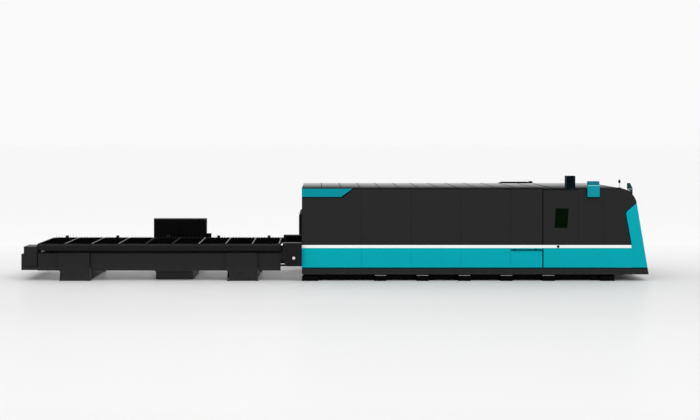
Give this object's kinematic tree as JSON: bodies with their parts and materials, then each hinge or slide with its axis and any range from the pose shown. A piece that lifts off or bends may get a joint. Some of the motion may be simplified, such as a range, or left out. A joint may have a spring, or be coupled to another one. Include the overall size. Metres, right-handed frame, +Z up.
{
  "type": "fiber laser cutting machine",
  "caption": "Closed-cabin fiber laser cutter with rounded nose, teal lower panels and a two-level exchange table of saw-toothed slats.",
  "frame": {"origin": "middle of the overall length and depth, on the floor", "axes": "+X along the machine from the exchange table to the rounded nose, +Z up, the front faces -Y"},
  "size_m": [16.02, 3.59, 2.675],
  "materials": {
    "table_frame": "satin paint",
    "bed_frame": "satin paint",
    "rail_steel": "ground",
    "drive_cover": "satin paint",
    "shaft_steel": "turned",
    "leg_cover": "satin paint",
    "foot_steel": "satin paint",
    "entry_paint": "satin paint",
    "platform_frame": "satin paint",
    "slat_steel": "laser cut, dulled",
    "wheel_steel": "turned",
    "stop_steel": "satin paint",
    "cabinet_paint": "satin paint",
    "duct_paint": "satin paint",
    "base_paint": "satin paint",
    "foot_iron": "painted",
    "inner_frame": "satin paint",
    "dark_panel": "fine satin powder coat",
    "teal_panel": "satin powder coat",
    "white_stripe": "satin powder coat",
    "skirt_paint": "satin powder coat",
    "accent_paint": "satin powder coat",
    "nose_paint": "satin powder coat",
    "roof_paint": "satin powder coat",
    "stack_paint": "satin powder coat",
    "hood_paint": "satin powder coat",
    "pole_metal": "brushed",
    "lamp_plastic": "smoked",
    "inner_paint": "satin paint",
    "pocket_paint": "satin paint",
    "door_paint": "satin paint",
    "window_glass": "dark laser-safe",
    "hinge_steel": "satin paint",
    "lock_metal": "satin",
    "gantry_paint": "satin paint",
    "carriage_metal": "machined",
    "head_metal": "anodised",
    "laser_paint": "satin paint"
  },
  "bodies": {
    "machine": {"table_side_beams": "table_frame", "bed_side_beams": "bed_frame", "upper_rails": "rail_steel", "lower_rails": "rail_steel", "table_end_beam": "table_frame", "drive_housing": "drive_cover", "leg_covers": "leg_cover", "table_legs": "table_frame", "foot_plates": "foot_steel", "jack_screws": "shaft_steel", "entry_frames": "entry_paint", "control_cabinet": "cabinet_paint", "cabinet_pins": "shaft_steel", "cabinet_duct": "duct_paint", "bed_base": "base_paint", "bed_feet": "foot_iron", "cabin_posts": "inner_frame", "cabin_beams": "inner_frame", "front_panels": "dark_panel", "rear_upper_panels": "dark_panel", "front_lower_panels": "teal_panel", "rear_lower_panels": "teal_panel", "cabin_stripe": "white_stripe", "cabin_skirt": "skirt_paint", "corner_accent": "accent_paint", "nose_side_panels": "dark_panel", "nose_lower_panels": "teal_panel", "nose_shell": "nose_paint", "roof_panels": "roof_paint", "roof_duct": "duct_paint", "extraction_stack": "stack_paint", "side_hood": "hood_paint", "beacon_pole": "pole_metal", "beacon_lamp": "lamp_plastic", "portal_wall": "inner_paint", "door_pocket": "pocket_paint", "panel_hinges": "hinge_steel", "gantry_column": "gantry_paint", "gantry_rails": "rail_steel", "laser_source": "laser_paint"},
    "platform_a": {"platform_a_frame": "platform_frame", "platform_a_slats": "slat_steel", "platform_a_stops": "stop_steel"},
    "wheels_a_1": {"platform_a_wheels_1": "wheel_steel"},
    "wheels_a_2": {"platform_a_wheels_2": "wheel_steel"},
    "platform_b": {"platform_b_frame": "platform_frame", "platform_b_slats": "slat_steel"},
    "wheels_b_1": {"platform_b_wheels_1": "wheel_steel"},
    "wheels_b_2": {"platform_b_wheels_2": "wheel_steel"},
    "cross_shaft": {"drive_shaft": "shaft_steel"},
    "gantry": {"gantry_beam": "gantry_paint"},
    "carriage": {"head_carriage": "carriage_metal"},
    "head": {"cutting_head": "head_metal"},
    "flap": {"service_flap": "dark_panel", "flap_window": "window_glass"},
    "lock": {"flap_lock": "lock_metal"},
    "door_left": {"cabinet_door_left": "cabinet_paint"},
    "door_right": {"cabinet_door_right": "cabinet_paint"},
    "cover": {"access_cover": "teal_panel"},
    "lift_door": {"entry_door": "door_paint"}
  },
  "joints": [
    {"name": "platform_a_travel", "type": "slide", "parent": "machine", "child": "platform_a", "axis": [1, 0, 0], "range_m": [0, 7]},
    {"name": "platform_b_travel", "type": "slide", "parent": "machine", "child": "platform_b", "axis": [1, 0, 0], "range_m": [-7, 0]},
    {"name": "wheel_a_1_spin", "type": "hinge", "parent": "platform_a", "child": "wheels_a_1", "pos_m": [-6.59183, -0.505, 0.7563], "axis": [0, 1, 0], "range_deg": [-5, 8030]},
    {"name": "wheel_a_2_spin", "type": "hinge", "parent": "platform_a", "child": "wheels_a_2", "pos_m": [-2.44217, -0.505, 0.7563], "axis": [0, 1, 0], "range_deg": [-5, 8030]},
    {"name": "wheel_b_1_spin", "type": "hinge", "parent": "platform_b", "child": "wheels_b_1", "pos_m": [0.40817, -0.505, 0.4463], "axis": [0, 1, 0], "range_deg": [-8030, 5]},
    {"name": "wheel_b_2_spin", "type": "hinge", "parent": "platform_b", "child": "wheels_b_2", "pos_m": [4.55783, -0.505, 0.4463], "axis": [0, 1, 0], "range_deg": [-8030, 5]},
    {"name": "drive_shaft_spin", "type": "hinge", "parent": "machine", "child": "cross_shaft", "pos_m": [-7.76, -0.505, 0.52], "axis": [0, 1, 0], "range_deg": [-5, 6690]},
    {"name": "gantry_travel", "type": "slide", "parent": "machine", "child": "gantry", "axis": [1, 0, 0], "range_m": [-5.9, 0.1]},
    {"name": "head_travel", "type": "slide", "parent": "gantry", "child": "carriage", "axis": [0, 1, 0], "range_m": [-1.7, 0]},
    {"name": "head_lift", "type": "slide", "parent": "carriage", "child": "head", "axis": [0, 0, 1], "range_m": [-0.11, 0]},
    {"name": "entry_door_lift", "type": "slide", "parent": "machine", "child": "lift_door", "axis": [0, 0, 1], "range_m": [-0.46, 0]},
    {"name": "service_flap_hinge", "type": "hinge", "parent": "machine", "child": "flap", "pos_m": [5.766, -1.715, 2.322], "axis": [-1, 0, 0], "range_deg": [0, 95]},
    {"name": "flap_lock_turn", "type": "hinge", "parent": "machine", "child": "lock", "pos_m": [5.71, -1.705, 0.876], "axis": [0, 1, 0], "range_deg": [0, 90]},
    {"name": "cabinet_door_left_hinge", "type": "hinge", "parent": "machine", "child": "door_left", "pos_m": [-4.913, 1.542, 0.6975], "axis": [0, 0, -1], "range_deg": [0, 85]},
    {"name": "cabinet_door_right_hinge", "type": "hinge", "parent": "machine", "child": "door_right", "pos_m": [-3.718, 1.542, 0.6975], "axis": [0, 0, 1], "range_deg": [0, 85]},
    {"name": "access_cover_hinge", "type": "hinge", "parent": "machine", "child": "cover", "pos_m": [4.901, -1.715, 0.785], "axis": [-1, 0, 0], "range_deg": [0, 80]}
  ],
  "couplings": [
    {"joint": "platform_b_travel", "follows": "platform_a_travel", "ratio": -1},
    {"joint": "wheel_a_1_spin", "follows": "platform_a_travel", "rad_per_m": 20},
    {"joint": "wheel_a_2_spin", "follows": "platform_a_travel", "rad_per_m": 20},
    {"joint": "wheel_b_1_spin", "follows": "platform_a_travel", "rad_per_m": -20},
    {"joint": "wheel_b_2_spin", "follows": "platform_a_travel", "rad_per_m": -20},
    {"joint": "drive_shaft_spin", "follows": "platform_a_travel", "rad_per_m": 16.667}
  ]
}
